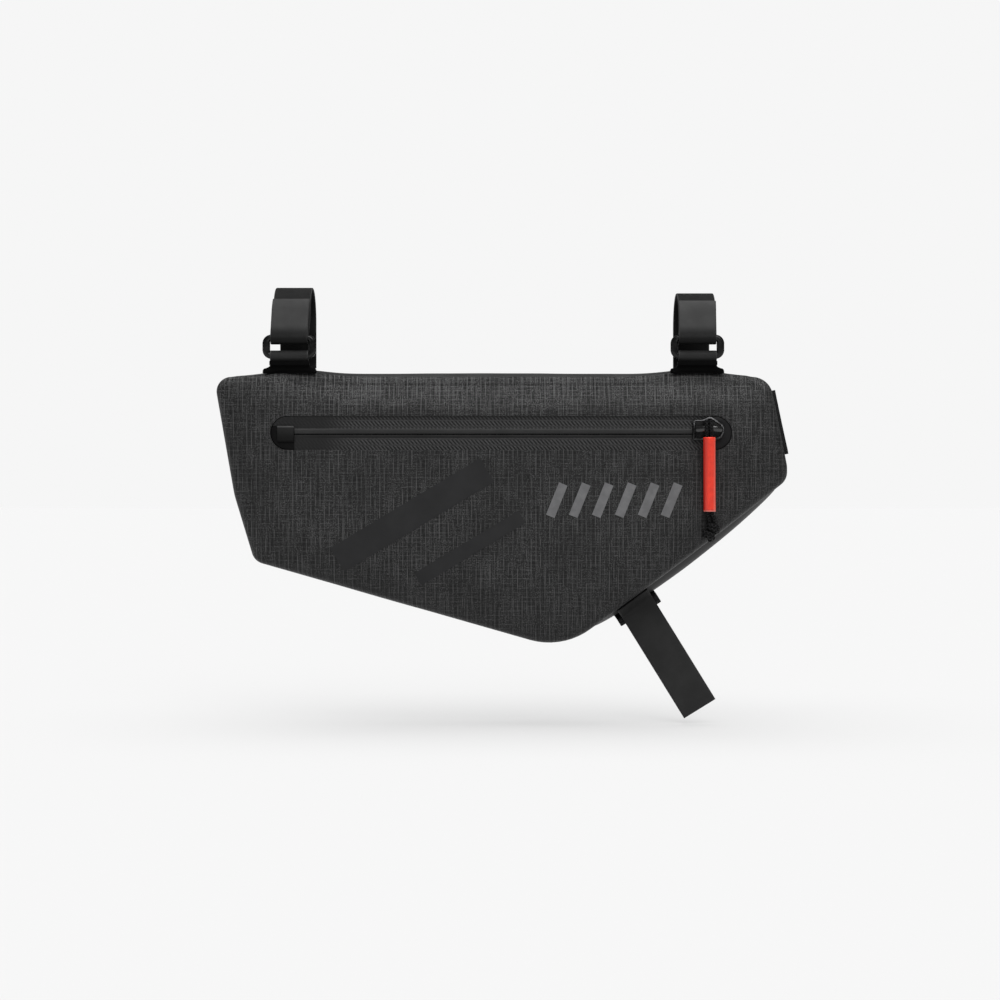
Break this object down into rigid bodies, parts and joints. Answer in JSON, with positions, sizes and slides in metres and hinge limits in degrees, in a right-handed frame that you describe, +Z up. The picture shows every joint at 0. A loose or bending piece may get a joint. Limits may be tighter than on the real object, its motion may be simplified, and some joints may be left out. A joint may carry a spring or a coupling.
{
  "type": "bicycle frame bag",
  "caption": "Slim zipped frame bag with a slanted end, hung under a top tube by strap loops with rectangular buckles, with a plain lower strap and a red zip pull.",
  "frame": {"origin": "the axis of the top tube, midway between the two strap loops, on the bag's middle plane", "axes": "+X along the bag towards its slanted end, +Y away from the zip side, +Z up"},
  "size_m": [0.3907, 0.0738, 0.2967],
  "materials": {
    "heathered_fabric": "heathered ripstop with a thin coating",
    "smooth_laminate": "smooth welded laminate",
    "zip_tape": "coated twill tape",
    "dark_laminate": "matt film",
    "glossy_black": "gloss",
    "satin_strap": "satin coated webbing",
    "black_foot": "moulded, satin",
    "black_cord": "braided",
    "red_sleeve": "satin tube"
  },
  "bodies": {
    "root": {"front_panel": "heathered_fabric", "back_panel": "heathered_fabric", "gusset": "smooth_laminate", "zip_upper_tape": "zip_tape", "zip_lower_tape": "zip_tape", "zip_left_garage": "dark_laminate", "zip_right_garage": "dark_laminate", "zip_stop_tab": "zip_tape", "zip_slider": "glossy_black", "pull_cord_left": "black_cord", "pull_cord_right": "black_cord", "pull_sleeve": "red_sleeve", "pull_knot": "black_cord", "left_strap_saddle": "black_foot", "left_front_foot": "black_foot", "left_back_foot": "black_foot", "left_anchor_strap": "satin_strap", "left_buckle": "glossy_black", "left_loop_strap": "satin_strap", "right_strap_saddle": "black_foot", "right_front_foot": "black_foot", "right_back_foot": "black_foot", "right_anchor_strap": "satin_strap", "right_buckle": "glossy_black", "right_loop_strap": "satin_strap", "lower_strap": "satin_strap", "lower_strap_base": "black_foot", "cable_flap": "dark_laminate"}
  },
  "joints": []
}
